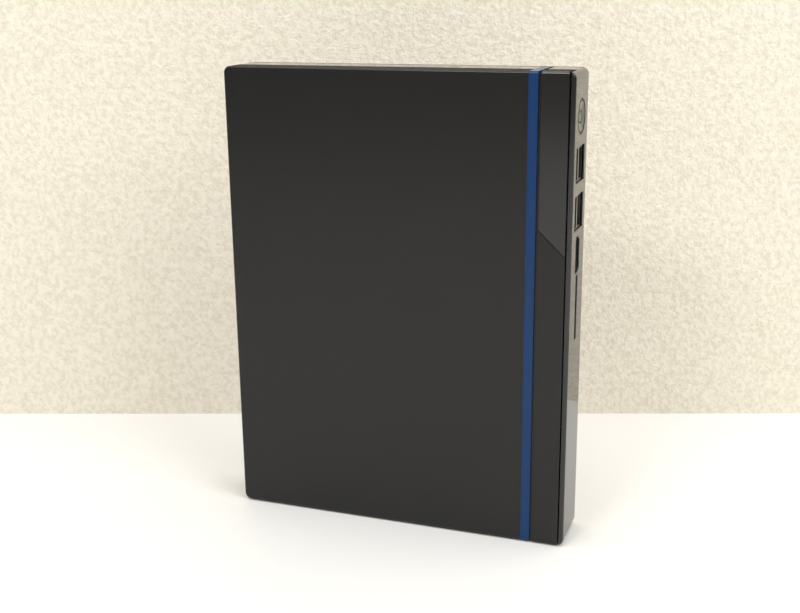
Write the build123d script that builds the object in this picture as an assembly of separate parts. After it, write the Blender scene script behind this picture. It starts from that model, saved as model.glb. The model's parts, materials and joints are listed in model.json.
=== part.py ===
from build123d import *
import os

# External optical disc drive in a slim upright case, with a hub and a card reader.
# Millimetres. X runs along the broad face towards the socket side, Y from the front
# cover to the back cover, Z is up. The origin is the centre of the bounding box's base.

os.makedirs("parts", exist_ok=True)

# ---------------------------------------------------------------- driving sizes
WIDTH = 146.0
HEIGHT = 193.0
CASE_DEPTH = 24.4
FOOT_RISE = 0.8
PAD_RISE = 0.5

X_LEFT = -WIDTH / 2
X_RIGHT = WIDTH / 2
Y_FRONT = -(CASE_DEPTH + FOOT_RISE) / 2
Y_BACK = Y_FRONT + CASE_DEPTH
Y_MID = (Y_FRONT + Y_BACK) / 2
Z_BASE = PAD_RISE
Z_TOP = HEIGHT

WALL = 1.8
EDGE_ROUND = 1.0
END_ROUND = 2.8
SEAM = 0.2
PANEL_THICK = 1.8
X_PANEL = X_RIGHT - PANEL_THICK
PANEL_GROOVE = 0.6
X_FRONT_END = X_PANEL - PANEL_GROOVE
COVER_DEPTH = 10.0
Y_SPLIT = Y_FRONT + COVER_DEPTH
Y_PARTING = 9.0
CUTOUT_BEVEL = 0.3
LIP_THICK = 1.1
LIP_DEPTH = 1.6

# trim on the broad face
TRIM_DEPTH = 1.0
STRIP_WIDTH = 3.7
STRIP_FROM_EDGE = 14.3
GROOVE_WIDTH = 1.3
GLOSS_DEPTH = 1.3
X_STRIP_END = X_RIGHT - STRIP_FROM_EDGE
GLOSS_LOW_LEFT = 132.3
GLOSS_LOW_RIGHT = 122.2

# sockets on the side panel, by the height of each centre
BUTTON_Z = 175.4
BUTTON_DIA = 11.9
RING_IN = 12.3
RING_OUT = 13.4
BUTTON_TRAVEL = 0.5
BUTTON_DISH = 0.5
BUTTON_RIM = 0.5
SIGN_DIA = 5.6
SIGN_LINE = 0.6
SIGN_DEPTH = 0.3
USB_Z = (157.1, 138.4)
USB_CUT_Z = 13.7
USB_CUT_Y = 15.0
USB_SHELL_Z = 13.1
USB_SHELL_Y = 13.0
USB_PITCH = 7.0
USB_OPEN_Y = 5.4
USB_OPEN_Z = 12.3
USB_DEPTH = 14.0
USB_BACK_WALL = 3.0
USB_TONGUE_Z = 10.8
SOCKET_RECESS = 0.8
VIDEO_Z = 121.4
VIDEO_LENGTH = 13.9
VIDEO_THICK = 6.4
VIDEO_DEPTH = 12.0
Y_VIDEO = -0.75
CARD_Z = 99.7
CARD_SLIT = 26.4
CARD_SLIT_THICK = 3.0
CARD_X0 = 57.2
CARD_X1 = 70.6
CARD_LID = -2.9
CARD_CONTACTS = 9
CARD_PITCH = 2.5
Y_CARD = -0.6
CUT_GAP = 0.3
FOIL = 0.35

# main board
BOARD_THICK = 1.6
Y_BOARD = 2.6
BOARD_LEFT = -69.0
BOARD_RIGHT = 69.0
BOARD_TOP = 184.0
BOARD_LOW = 142.0
STRIP_LEFT = 56.5
STRIP_LOW = 14.0
NECK_LOW = 124.0

# sockets on the tray side
SOCKET_FACE_LEFT = -72.4
SOCKET_TOP = 178.0
UPSTREAM_Z = 170.0
UPSTREAM_X1 = -56.0
Y_UPSTREAM = -3.1
UPSTREAM_CUT = (11.7, 12.7)
JACK_Z = 151.0
JACK_BORE = 6.4
JACK_DEPTH = 9.0
JACK_COLLAR = 8.0
Y_JACK = -2.5

# disc drive module
DRIVE_Z0 = 5.0
DRIVE_SPAN = 128.0
DRIVE_Z1 = DRIVE_Z0 + DRIVE_SPAN
DRIVE_THICK = 12.7
Y_LID = -7.0
Y_PAN = Y_LID + DRIVE_THICK
DRIVE_X0 = -70.4
DRIVE_X1 = 54.9
SHEET = 0.6
BEZEL_THICK = 2.0
BEZEL_GAP = 0.4
LINK_Z0 = 18.0
LINK_Z1 = 50.0
DRIVE_SCREW_SPOTS = ((52.6, 9.0), (52.6, 128.0))
BRACKET_HOLES = (-50.0, 30.0)

# tray and disc
TRAY_X0 = -70.9
TRAY_X1 = 50.6
TRAY_Z0 = 7.9
TRAY_Z1 = 130.1
Y_TRAY = -5.9
Y_TRAY_UNDER = 4.6
Y_FLOOR = -3.7
FLOOR_THICK = 1.4
TRAY_WALL = 2.0
DISC_X = -9.5
DISC_Z = (DRIVE_Z0 + DRIVE_Z1) / 2
RECESS_RADIUS = 60.6
Y_DISC = -4.0
HUB_DIA = 14.9
EJECT_Z = 112.0
LIGHT_Z = 122.0
PINHOLE_Z = 101.0
Y_EJECT = 1.2

# traverse: everything below is laid out along the sled's line and turned into place
SLED_ANGLE = 45.0
LENS_START = 23.0
SLED_TRAVEL = 34.0
Y_DECK = 0.8
DECK_THICK = 0.8
ROD_DIA = 2.0
ROD_OFFSET = 17.5
Y_ROD = 2.7
SCREW_OFFSET = -22.5
SCREW_DIA = 2.0
SCREW_LEAD = 3.0
Y_SCREW = 1.4
LENS_POCKET = 11.0
DAMPER_SPOTS = ((-16.0, 13.0), (-16.0, -13.0), (30.0, 22.5))
RUNNING = 0.05

# screws, posts, feet and cooling slots, by (x, z)
CASE_BOSSES = ((-66.0, 187.4), (0.0, 187.4), (64.0, 187.4), (-66.0, 138.0), (64.0, 66.0), (64.0, 7.0))
BOSS_DIA = 5.4
BOARD_POSTS = ((-46.0, 180.0), (-40.0, 147.0), (34.0, 146.5), (40.0, 180.0), (66.0, 34.0))
POST_DIA = 5.0
SHANK_DIA = 2.4
FRONT_RIBS = (30.0, 69.0, 108.0)
FOOT_SPOTS = ((-60.0, 14.0), (56.0, 20.0), (-54.0, 178.0), (54.0, 174.0))
FOOT_DIA = 10.0
FOOT_INSET = 1.0
VENT_COUNT = 12
VENT_X0 = -26.0
VENT_PITCH = 4.4
VENT_WIDTH = 1.6
VENT_Z0 = 150.0
VENT_Z1 = 172.0


# ---------------------------------------------------------------- helpers
def block(x0, x1, y0, y1, z0, z1):
    """Box given by its low and high limits on each axis."""
    size = (x1 - x0, y1 - y0, z1 - z0)
    return Pos((x0 + x1) / 2, (y0 + y1) / 2, (z0 + z1) / 2) * Box(*size)


def rod_y(x, z, y0, y1, dia):
    """Cylinder along Y."""
    return Pos(x, (y0 + y1) / 2, z) * Rot(90, 0, 0) * Cylinder(dia / 2, y1 - y0)


def rod_x(y, z, x0, x1, dia):
    """Cylinder along X."""
    return Pos((x0 + x1) / 2, y, z) * Rot(0, 90, 0) * Cylinder(dia / 2, x1 - x0)


def tube_x(y, z, x0, x1, outer, inner):
    return rod_x(y, z, x0, x1, outer) - rod_x(y, z, x0 - 1, x1 + 1, inner)


def plate_x(face, x0, x1):
    """Face drawn as (y, z), centred on the origin, made solid from x0 to x1."""
    plane = Plane(origin=(x0, 0, 0), x_dir=(0, 1, 0), z_dir=(1, 0, 0))
    return extrude(plane * face, x1 - x0)


def plate_y(points, y0, y1):
    """Outline given as (x, z) points, made solid from y0 to y1."""
    plane = Plane(origin=(0, y0, 0), x_dir=(1, 0, 0), z_dir=(0, -1, 0))
    face = plane * make_face(Polyline(*points, close=True))
    return extrude(face, y0 - y1)


def slot_x(y, z, width, height, radius, x0, x1):
    """Rounded rectangle, width along Y and height along Z, as a solid along X."""
    face = Pos(y, z) * RectangleRounded(width, height, radius)
    return plate_x(face, x0, x1)


def joined(solids):
    """Separate like solids kept as one node."""
    return Compound(children=list(solids))


def turned(shape):
    """Put a piece of the traverse, drawn along +X from the disc's axis, in its place."""
    return Pos(DISC_X, 0, DISC_Z) * Rot(0, 180 - SLED_ANGLE, 0) * shape


NODES = {}


def node(name, shape):
    NODES[name] = shape


# ---------------------------------------------------------------- casing
def outer_block():
    """The whole case as one rounded block; the shells are cut from it."""
    body = block(X_LEFT, X_RIGHT, Y_FRONT, Y_BACK, Z_BASE, Z_TOP)
    upright = body.edges().filter_by(Axis.Y)
    body = fillet(upright, END_ROUND)
    rim = body.faces().sort_by(Axis.Y)[0].edges() + body.faces().sort_by(Axis.Y)[-1].edges()
    return fillet(rim, EDGE_ROUND)


def strip_limits():
    return X_STRIP_END - STRIP_WIDTH, X_STRIP_END


def gloss_outline(gap):
    """Front outline of the glossy panel as (x, z), grown by gap on its free sides."""
    left = X_STRIP_END + GROOVE_WIDTH - gap
    right = X_FRONT_END - 0.1 + gap
    return (
        (left, GLOSS_LOW_LEFT - gap),
        (right, GLOSS_LOW_RIGHT - gap),
        (right, Z_TOP + 1),
        (left, Z_TOP + 1),
    )


def trim_skin(block_all):
    """The outer layer of the front and top faces that the trim pieces fill."""
    core = block(
        X_LEFT - 1, X_RIGHT + 1, Y_FRONT + TRIM_DEPTH, Y_BACK + 1, Z_BASE - 1, Z_TOP - TRIM_DEPTH
    )
    return block_all - core


def strip_cutter():
    """Room for the strip and for the open groove beside it."""
    x0, x1 = strip_limits()
    return block(
        x0 - 0.05, x1 + GROOVE_WIDTH + 0.05, Y_FRONT - 1, Y_PARTING + 1, Z_BASE - 1, Z_TOP + 1
    )


def gloss_room(gap):
    """Space of the glossy panel; gap is its clearance all round."""
    return plate_y(gloss_outline(gap), Y_FRONT - 1, Y_FRONT + GLOSS_DEPTH + gap)


def front_cover(block_all):
    """Deep front cover with a rim, the screw bosses and the board's posts inside it."""
    shell = block_all & block(X_LEFT - 1, X_FRONT_END, Y_FRONT - 1, Y_SPLIT - SEAM, -1, Z_TOP + 1)
    inset = WALL + SEAM
    rim = block(
        X_LEFT + inset, X_FRONT_END, Y_FRONT + WALL, Y_SPLIT + LIP_DEPTH, Z_BASE + inset, Z_TOP - inset
    )
    thick = inset + LIP_THICK
    hollow = block(
        X_LEFT + thick, X_RIGHT, Y_FRONT + WALL, Y_BACK, Z_BASE + thick, Z_TOP - thick
    )
    # thinner wall and no rim beside the drive and the sockets
    thin = block(X_LEFT + WALL, X_RIGHT, Y_FRONT + WALL, Y_BACK, Z_BASE + thick, SOCKET_TOP)
    shell = shell + rim - hollow - thin
    skin = trim_skin(block_all)
    for cutter in (strip_cutter(), gloss_room(0.1)):
        shell -= skin & cutter
    for x, z in CASE_BOSSES:
        shell += rod_y(x, z, Y_FRONT + WALL - 0.2, Y_PARTING - 0.2, BOSS_DIA)
        shell -= rod_y(x, z, Y_FRONT + WALL + 1, Y_PARTING + 1, SHANK_DIA + 2 * RUNNING)
    for x, z in BOARD_POSTS:
        shell += rod_y(x, z, Y_FRONT + WALL - 0.2, Y_BOARD, POST_DIA)
        shell -= rod_y(x, z, Y_FRONT + WALL + 1, Y_BOARD + 1, SHANK_DIA + 2 * RUNNING)
    for z in FRONT_RIBS:
        shell += block(-60, 48, Y_FRONT + WALL - 0.2, Y_LID - 0.3, z - 0.7, z + 0.7)
    return cut_tray_side(shell)


def side_frame(block_all):
    """Glossy band round the case; its socket side runs on to the front and the back face."""
    band = block_all & block(X_LEFT - 1, X_RIGHT + 1, Y_SPLIT, Y_PARTING, -1, Z_TOP + 1)
    band += block_all & block(X_PANEL, X_RIGHT + 1, Y_FRONT - 1, Y_BACK + 1, -1, Z_TOP + 1)
    band -= block(X_LEFT + WALL, X_PANEL, Y_FRONT - 1, Y_BACK + 1, Z_BASE + WALL, Z_TOP - WALL)
    band -= trim_skin(block_all) & strip_cutter()
    return cut_sockets(cut_tray_side(band))


def cut_tray_side(band):
    """Window for the tray, and openings for the two sockets above it."""
    band -= block(
        X_LEFT - 1, X_LEFT + WALL + 0.1, Y_LID - BEZEL_GAP, Y_PAN + BEZEL_GAP,
        DRIVE_Z0 - 0.1, DRIVE_Z1 + 0.1,
    )
    width, height = UPSTREAM_CUT
    band -= slot_x(Y_UPSTREAM, UPSTREAM_Z, width, height, 0.6, X_LEFT - 1, X_LEFT + WALL + 1)
    return band - rod_x(Y_JACK, JACK_Z, X_LEFT - 1, X_LEFT + WALL + 1, JACK_COLLAR + 2 * CUT_GAP)


def cut_sockets(band):
    """Openings of the socket side, each with a small bevel round its mouth."""
    x0, x1 = X_PANEL - 1, X_RIGHT + 1
    band -= rod_x(Y_MID, BUTTON_Z, x0, x1, RING_OUT + 0.2)
    for z in USB_Z:
        band -= slot_x(Y_MID, z, USB_CUT_Y, USB_CUT_Z, 0.6, x0, x1)
    band -= Pos(x0, 0, 0) * video_profile(CUT_GAP, x1 - x0)
    band -= slot_x(Y_CARD, CARD_Z, CARD_SLIT_THICK, CARD_SLIT, 0.7, x0, x1)
    face = band.faces().filter_by(Axis.X).sort_by(Axis.X)[-1]
    mouths = [edge for wire in face.inner_wires() for edge in wire.edges()]
    return chamfer(mouths, CUTOUT_BEVEL)


def back_cover(block_all):
    plate = block_all & block(X_LEFT - 1, X_PANEL - SEAM, Y_PARTING + SEAM, Y_BACK + 1, -1, Z_TOP + 1)
    inset = WALL + SEAM
    lip = block(
        X_LEFT + inset, X_PANEL - SEAM - 1, Y_PARTING - LIP_DEPTH, Y_PARTING + SEAM + 0.2,
        Z_BASE + inset, Z_TOP - inset,
    )
    thick = inset + LIP_THICK
    lip -= block(X_LEFT + thick, X_RIGHT, 0, Y_BACK, Z_BASE + thick, Z_TOP - thick)
    for x, z in CASE_BOSSES:
        lip -= rod_y(x, z, 0, Y_PARTING, BOSS_DIA + 0.6)
    plate += lip
    for x, z in CASE_BOSSES:
        plate -= rod_y(x, z, 0, Y_BACK + 1, SHANK_DIA + 0.3)
        plate -= rod_y(x, z, Y_BACK - 1.7, Y_BACK + 1, 4.9)
    for x, z in FOOT_SPOTS:
        plate -= rod_y(x, z, Y_BACK - FOOT_INSET, Y_BACK + 1, FOOT_DIA + 0.2)
    # cooling slots over the board
    for step in range(VENT_COUNT):
        x = VENT_X0 + step * VENT_PITCH
        plate -= block(x, x + VENT_WIDTH, 0, Y_BACK + 1, VENT_Z0, VENT_Z1)
    return plate


def accent_strip(block_all):
    """Blue strip down the front that turns over the top edge and ends at the back cover."""
    x0, x1 = strip_limits()
    body = trim_skin(block_all) & block(
        x0, x1, Y_FRONT - 1, Y_PARTING, Z_BASE - 1, Z_TOP + 1
    )
    return body & block(x0, x1, Y_FRONT - 1, Y_PARTING, Z_BASE + 0.05, Z_TOP)


def gloss_panel(block_all):
    """Glossy corner of the front, its slanted lower edge bevelled to catch the light."""
    panel = trim_skin(block_all) & gloss_room(0.0)
    front = panel.faces().sort_by(Axis.Y)[0]
    return chamfer(front.edges().sort_by(Axis.Z)[0], 0.25)


def bottom_pads():
    pads = []
    for x in (-50.0, 46.0):
        face = Pos(x, Y_MID) * RectangleRounded(28, 15, 4)
        pads.append(extrude(face, PAD_RISE))
    return joined(pads)


def back_feet():
    feet = []
    for x, z in FOOT_SPOTS:
        foot = rod_y(x, z, Y_BACK - FOOT_INSET + 0.05, Y_BACK + FOOT_RISE, FOOT_DIA)
        feet.append(chamfer(foot.faces().sort_by(Axis.Y)[-1].edges(), 0.4))
    return joined(feet)


def screw_y(x, z, y_seat, length, head_dia, head_height):
    """Screw with its head on the +Y side of y_seat and a cross recess in the head."""
    head = rod_y(x, z, y_seat, y_seat + head_height, head_dia)
    head = chamfer(head.faces().sort_by(Axis.Y)[-1].edges(), head_height * 0.3)
    arm = head_dia * 0.27
    for a, b in ((arm, head_dia * 0.07), (head_dia * 0.07, arm)):
        head -= block(x - a, x + a, y_seat + head_height * 0.45, y_seat + head_height + 1, z - b, z + b)
    return head + rod_y(x, z, y_seat - length, y_seat + 0.01, SHANK_DIA)


def case_screws():
    return joined(screw_y(x, z, Y_BACK - 1.65, 8.0, 4.6, 1.3) for x, z in CASE_BOSSES)


def board_screws():
    seat = Y_BOARD + BOARD_THICK + 0.02
    return joined(screw_y(x, z, seat, 6.0, 4.4, 1.2) for x, z in BOARD_POSTS)


# ---------------------------------------------------------------- power button
def power_button():
    """Round cap with a shallow dish, and a plain ring and bar as its sign."""
    face = X_RIGHT - 0.1
    cap = rod_x(Y_MID, BUTTON_Z, 71.2, face, BUTTON_DIA)
    cap = chamfer(cap.faces().sort_by(Axis.X)[-1].edges(), 0.2)
    rim = BUTTON_DIA / 2 - BUTTON_RIM
    ball = (rim**2 + BUTTON_DISH**2) / (2 * BUTTON_DISH)
    cap -= Pos(face - BUTTON_DISH + ball, Y_MID, BUTTON_Z) * Sphere(ball)
    cap += rod_x(Y_MID, BUTTON_Z, 67.3, 71.3, 5.0)
    low = face - BUTTON_DISH - SIGN_DEPTH
    half = SIGN_LINE / 2
    sign = tube_x(Y_MID, BUTTON_Z, low, X_RIGHT + 1, SIGN_DIA, SIGN_DIA - 2 * SIGN_LINE)
    sign -= block(70, 75, Y_MID - 1.0, Y_MID + 1.0, BUTTON_Z, BUTTON_Z + SIGN_DIA)
    sign += block(low, 75, Y_MID - half, Y_MID + half, BUTTON_Z + 0.3, BUTTON_Z + SIGN_DIA / 2 + 0.4)
    return cap - sign


def power_ring():
    """Dark sleeve the button slides in, a little below the face."""
    ring = tube_x(Y_MID, BUTTON_Z, 70.9, X_RIGHT - 0.35, RING_OUT, RING_IN)
    flange = tube_x(Y_MID, BUTTON_Z, 70.0, 70.6, RING_OUT + 3, RING_IN)
    neck = tube_x(Y_MID, BUTTON_Z, 70.5, 71.0, RING_OUT, RING_IN)
    return ring + neck + flange


def switch_plunger():
    return rod_x(Y_MID, BUTTON_Z, 65.2, 67.2, 3.4)


def power_switch():
    body = block(61.6, 66.1, -3.5, Y_BOARD - 0.05, BUTTON_Z - 4, BUTTON_Z + 4)
    return body - rod_x(Y_MID, BUTTON_Z, 65.2 - BUTTON_TRAVEL - 0.3, 67.0, 3.6)


def power_led():
    return block(66.6, 69.0, 0.9, Y_BOARD - 0.05, BUTTON_Z + 5.2, BUTTON_Z + 7.4)


# ---------------------------------------------------------------- sockets
def usb_shells():
    """Two stacked pairs, each a folded steel box with two openings."""
    x1 = X_RIGHT - SOCKET_RECESS
    x0 = x1 - USB_DEPTH
    shells = []
    for z in USB_Z:
        shell = slot_x(Y_MID, z, USB_SHELL_Y, USB_SHELL_Z, 0.5, x0, x1)
        for y in (Y_MID - USB_PITCH / 2, Y_MID + USB_PITCH / 2):
            shell -= slot_x(y, z, USB_OPEN_Y, USB_OPEN_Z, 0.3, x0 + USB_BACK_WALL, x1 + 1)
        shells.append(shell)
    return joined(shells)


def usb_tongues():
    """Contact blades' plastic carriers, one in each opening."""
    x1 = X_RIGHT - SOCKET_RECESS
    tongues = []
    for z in USB_Z:
        for y in (Y_MID - USB_PITCH / 2, Y_MID + USB_PITCH / 2):
            back = x1 - USB_DEPTH + USB_BACK_WALL + 0.05
            half = USB_TONGUE_Z / 2
            tongues.append(block(back, x1 - 2.0, y + 0.35, y + 2.1, z - half, z + half))
    return joined(tongues)


def video_profile(gap, length):
    """Display socket outline, its two corners on the back side cut off."""
    half = VIDEO_LENGTH / 2 + gap
    low = Y_VIDEO - VIDEO_THICK / 2 - gap
    high = Y_VIDEO + VIDEO_THICK / 2 + gap
    cut = VIDEO_THICK * 0.42
    points = (
        (low, VIDEO_Z - half),
        (high - cut, VIDEO_Z - half),
        (high, VIDEO_Z - half + cut * 0.6),
        (high, VIDEO_Z + half - cut * 0.6),
        (high - cut, VIDEO_Z + half),
        (low, VIDEO_Z + half),
    )
    return plate_x(make_face(Polyline(*points, close=True)), 0, length)


def video_shell():
    x1 = X_RIGHT - SOCKET_RECESS
    outer = Pos(x1 - VIDEO_DEPTH, 0, 0) * video_profile(0, VIDEO_DEPTH)
    inner = Pos(x1 - VIDEO_DEPTH + 2.0, 0, 0) * video_profile(-FOIL, VIDEO_DEPTH)
    return outer - inner


def video_tongue():
    x1 = X_RIGHT - SOCKET_RECESS
    x0 = x1 - VIDEO_DEPTH + 2.05
    return block(x0, x1 - 2.0, Y_VIDEO - 0.6, Y_VIDEO + 0.6, VIDEO_Z - 5.4, VIDEO_Z + 5.4)


def card_cage():
    body = block(CARD_X0, CARD_X1, CARD_LID, Y_BOARD - 0.05, CARD_Z - 14.4, CARD_Z + 14.4)
    slot = block(
        CARD_X0 + 1.0, CARD_X1 + 1, Y_CARD - 1.15, Y_CARD + 1.15, CARD_Z - 12.2, CARD_Z + 12.2
    )
    body -= slot
    for z in (CARD_Z - 6.0, CARD_Z + 6.0):
        body -= block(CARD_X0 + 3, CARD_X1 - 3, CARD_LID - 1, CARD_LID + 0.4, z - 2.0, z + 2.0)
    return body


def card_contacts():
    fingers = []
    for step in range(CARD_CONTACTS):
        z = CARD_Z + (step - (CARD_CONTACTS - 1) / 2) * CARD_PITCH
        fingers.append(block(CARD_X0 + 1.1, CARD_X0 + 7.0, Y_CARD + 0.8, Y_CARD + 1.1, z - 0.5, z + 0.5))
    return joined(fingers)


def upstream_shell():
    """Square-type upstream socket with its two cut corners towards the front cover."""
    half_z = 6.0
    y0 = Y_UPSTREAM - 5.5
    y1 = Y_BOARD - 0.05
    cut = 2.0
    outer = block(SOCKET_FACE_LEFT, UPSTREAM_X1, y0, y1, UPSTREAM_Z - half_z, UPSTREAM_Z + half_z)
    in_z = 4.25
    points = (
        (y0 + 1.4, UPSTREAM_Z - in_z + cut),
        (y0 + 1.4 + cut, UPSTREAM_Z - in_z),
        (y1 - 2.0, UPSTREAM_Z - in_z),
        (y1 - 2.0, UPSTREAM_Z + in_z),
        (y0 + 1.4 + cut, UPSTREAM_Z + in_z),
        (y0 + 1.4, UPSTREAM_Z + in_z - cut),
    )
    inner = plate_x(make_face(Polyline(*points, close=True)), SOCKET_FACE_LEFT - 1, SOCKET_FACE_LEFT + 9)
    return outer - inner


def upstream_tongue():
    return block(
        SOCKET_FACE_LEFT + 0.8, SOCKET_FACE_LEFT + 8.95, Y_UPSTREAM - 2.1, Y_UPSTREAM + 1.1,
        UPSTREAM_Z - 2.8, UPSTREAM_Z + 2.8,
    )


def power_jack():
    body = block(-70.9, -58.0, Y_JACK - 5.0, Y_BOARD - 0.05, JACK_Z - 4.5, JACK_Z + 4.5)
    body += rod_x(Y_JACK, JACK_Z, SOCKET_FACE_LEFT, -70.8, JACK_COLLAR)
    return body - rod_x(Y_JACK, JACK_Z, SOCKET_FACE_LEFT - 1, SOCKET_FACE_LEFT + JACK_DEPTH, JACK_BORE)


def power_jack_pin():
    pin = rod_x(Y_JACK, JACK_Z, SOCKET_FACE_LEFT + 1.0, SOCKET_FACE_LEFT + JACK_DEPTH - 0.02, 2.0)
    return fillet(pin.faces().sort_by(Axis.X)[0].edges(), 0.7)


# ---------------------------------------------------------------- main board
def main_board():
    y0, y1 = Y_BOARD, Y_BOARD + BOARD_THICK
    board = block(BOARD_LEFT, BOARD_RIGHT, y0, y1, BOARD_LOW, BOARD_TOP)
    board += block(STRIP_LEFT, BOARD_RIGHT, y0, y1, STRIP_LOW, BOARD_LOW + 1)
    # neck between the drive's rear wall and the sockets that are sunk into the board
    board += block(DRIVE_X1 + 0.4, BOARD_RIGHT, y0, y1, NECK_LOW, BOARD_LOW + 1)
    for z in USB_Z:
        half = USB_SHELL_Z / 2 + 0.2
        board -= block(X_RIGHT - SOCKET_RECESS - USB_DEPTH - 0.3, 75, y0 - 1, y1 + 1, z - half, z + half)
    for x, z in CASE_BOSSES:
        board -= rod_y(x, z, y0 - 1, y1 + 1, BOSS_DIA + 0.8)
    for x, z in BOARD_POSTS:
        board -= rod_y(x, z, y0 - 1, y1 + 1, SHANK_DIA + 0.3)
    return board


def chip(x, z, size_x, size_z, height):
    """Flat package on the front side of the board, with a row of leads along two sides."""
    y1 = Y_BOARD - 0.05
    body = block(x - size_x / 2, x + size_x / 2, y1 - height, y1 - 0.15, z - size_z / 2, z + size_z / 2)
    count = int(size_x / 1.6)
    for step in range(count):
        lead_x = x - size_x / 2 + (step + 0.5) * size_x / count
        reach = size_z / 2 + 0.9
        body += block(lead_x - 0.3, lead_x + 0.3, y1 - 0.45, y1, z - reach, z + reach)
    return body


def control_chips():
    return joined((
        chip(-6.0, 160.0, 14.0, 14.0, 1.4),
        chip(24.0, 164.0, 9.0, 9.0, 1.2),
        chip(-30.0, 168.0, 10.0, 6.0, 1.2),
        chip(62.5, 74.0, 6.0, 5.0, 1.1),
    ))


def capacitor_cans():
    cans = []
    for x, z in ((-48.0, 166.0), (-48.0, 156.5), (46.0, 156.0), (46.0, 166.0)):
        can = rod_y(x, z, Y_BOARD - 7.0, Y_BOARD - 0.05, 6.3)
        can = fillet(can.faces().sort_by(Axis.Y)[0].edges(), 0.5)
        cans.append(can)
    return joined(cans)


def power_coils():
    coils = []
    for x, z in ((-33.0, 155.0), (8.0, 176.0)):
        coil = block(x - 3.5, x + 3.5, Y_BOARD - 4.0, Y_BOARD - 0.05, z - 3.5, z + 3.5)
        coils.append(fillet(coil.edges().filter_by(Axis.Y), 1.2))
    return joined(coils)


def clock_crystals():
    parts = []
    for x, z in ((8.0, 151.0), (32.0, 173.0)):
        face = Pos(x, z) * SlotOverall(10.0, 4.4)
        plane = Plane(origin=(0, Y_BOARD - 0.05, 0), x_dir=(1, 0, 0), z_dir=(0, -1, 0))
        parts.append(extrude(plane * face, 3.4))
    return joined(parts)


# ---------------------------------------------------------------- drive module
def drive_base():
    pan = block(DRIVE_X0, DRIVE_X1, Y_PAN - SHEET, Y_PAN, DRIVE_Z0, DRIVE_Z1)
    wall_top = Y_LID + SHEET + 0.1
    for z0 in (DRIVE_Z0, DRIVE_Z1 - SHEET):
        pan += block(DRIVE_X0, DRIVE_X1, wall_top, Y_PAN - 0.1, z0, z0 + SHEET)
    pan += block(DRIVE_X1 - SHEET, DRIVE_X1, wall_top, Y_PAN - 0.1, DRIVE_Z0, DRIVE_Z1)
    pan -= block(DRIVE_X1 - 2, DRIVE_X1 + 1, -1.0, Y_PAN - SHEET - 0.1, LINK_Z0 - 0.3, LINK_Z1 + 0.3)
    for x in (-40.0, 0.0, 40.0):
        pan -= block(x - 12, x + 12, Y_PAN - 0.25, Y_PAN + 1, 20, 21.2)
        pan -= block(x - 12, x + 12, Y_PAN - 0.25, Y_PAN + 1, 117, 118.2)
    for x, z in DRIVE_SCREW_SPOTS:
        pan -= rod_y(x, z, Y_PAN - 2, Y_PAN + 1, SHANK_DIA - 0.5)
    for x in BRACKET_HOLES:
        pan -= Pos(x, 0.0, DRIVE_Z1) * Cylinder(1.0, 4)
    return pan


def drive_lid():
    lid = block(DRIVE_X0, DRIVE_X1, Y_LID, Y_LID + SHEET, DRIVE_Z0, DRIVE_Z1)
    # a shallow pressed ring and ribs stiffen the sheet
    ring = rod_y(DISC_X, DISC_Z, Y_LID - 1, Y_LID + 0.2, 100)
    ring -= rod_y(DISC_X, DISC_Z, Y_LID - 1, Y_LID + 1, 92)
    lid -= ring
    lid -= rod_y(DISC_X, DISC_Z, Y_LID - 1, Y_LID + 0.2, 36)
    return lid


def drive_screws():
    parts = []
    for x, z in DRIVE_SCREW_SPOTS:
        post = rod_y(x, z, Y_LID + SHEET + 0.05, Y_PAN - SHEET - 0.05, 2.6)
        head = rod_y(x, z, Y_PAN + 0.02, Y_PAN + 0.8, 3.2)
        parts.append(post + head + rod_y(x, z, Y_PAN - 1.2, Y_PAN + 0.1, 1.8))
    return joined(parts)


def rail_guides():
    """Plastic guides at the mouth of the drive, one under each rail."""
    guides = []
    for z0 in (DRIVE_Z0 + SHEET + 0.05, DRIVE_Z1 - SHEET - 1.95):
        guides.append(block(-69.6, -50.0, 3.4, Y_PAN - SHEET - 0.05, z0, z0 + 1.9))
    return joined(guides)


def drive_connector():
    body = block(51.4, 55.6, -0.6, 4.9, LINK_Z0, LINK_Z1)
    return body - block(54.9, 56, 1.6, 2.4, LINK_Z0 + 2, LINK_Z1 - 2)


def board_connector():
    body = block(56.6, 61.0, -2.6, Y_BOARD - 0.05, LINK_Z0 - 1, LINK_Z1 + 1)
    body += block(55.7, 56.7, -0.6, Y_BOARD - 0.4, LINK_Z0, LINK_Z1)
    return body


def ribbon_cable():
    """The flat cable's run that stays on the pan, under the tray."""
    thin = 0.15
    y0 = Y_PAN - SHEET - 0.05 - thin
    run = block(-20, 50.0, y0, y0 + thin, 96, 112)
    run += block(38, 50.0, y0, y0 + thin, 54, 112)
    return run


def drive_bracket():
    z0 = DRIVE_Z1 + 0.3
    plate = block(-60, 46, -6.6, 5.4, z0, z0 + 1.0)
    for x0 in (-56.0, 20.0):
        plate += block(x0, x0 + 14, -6.6, -5.6, z0, z0 + 7)
    for step in range(5):
        x = -38 + step * 15
        plate -= block(x, x + 9, -3.5, 2.5, z0 - 1, z0 + 2)
    for x in BRACKET_HOLES:
        plate -= Pos(x, 0.0, z0) * Cylinder(1.1, 4)
    return plate


def bracket_screws():
    screws = []
    z0 = DRIVE_Z1 + 0.3
    for x in BRACKET_HOLES:
        shank = Pos(x, 0.0, z0 + 0.1) * Cylinder(0.95, 2.6)
        head = Pos(x, 0.0, z0 + 1.5) * Cylinder(1.9, 0.9)
        head -= Pos(x, 0.0, z0 + 1.9) * Box(2.4, 0.4, 0.6)
        head -= Pos(x, 0.0, z0 + 1.9) * Box(0.4, 2.4, 0.6)
        screws.append(shank + head)
    return joined(screws)


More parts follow.
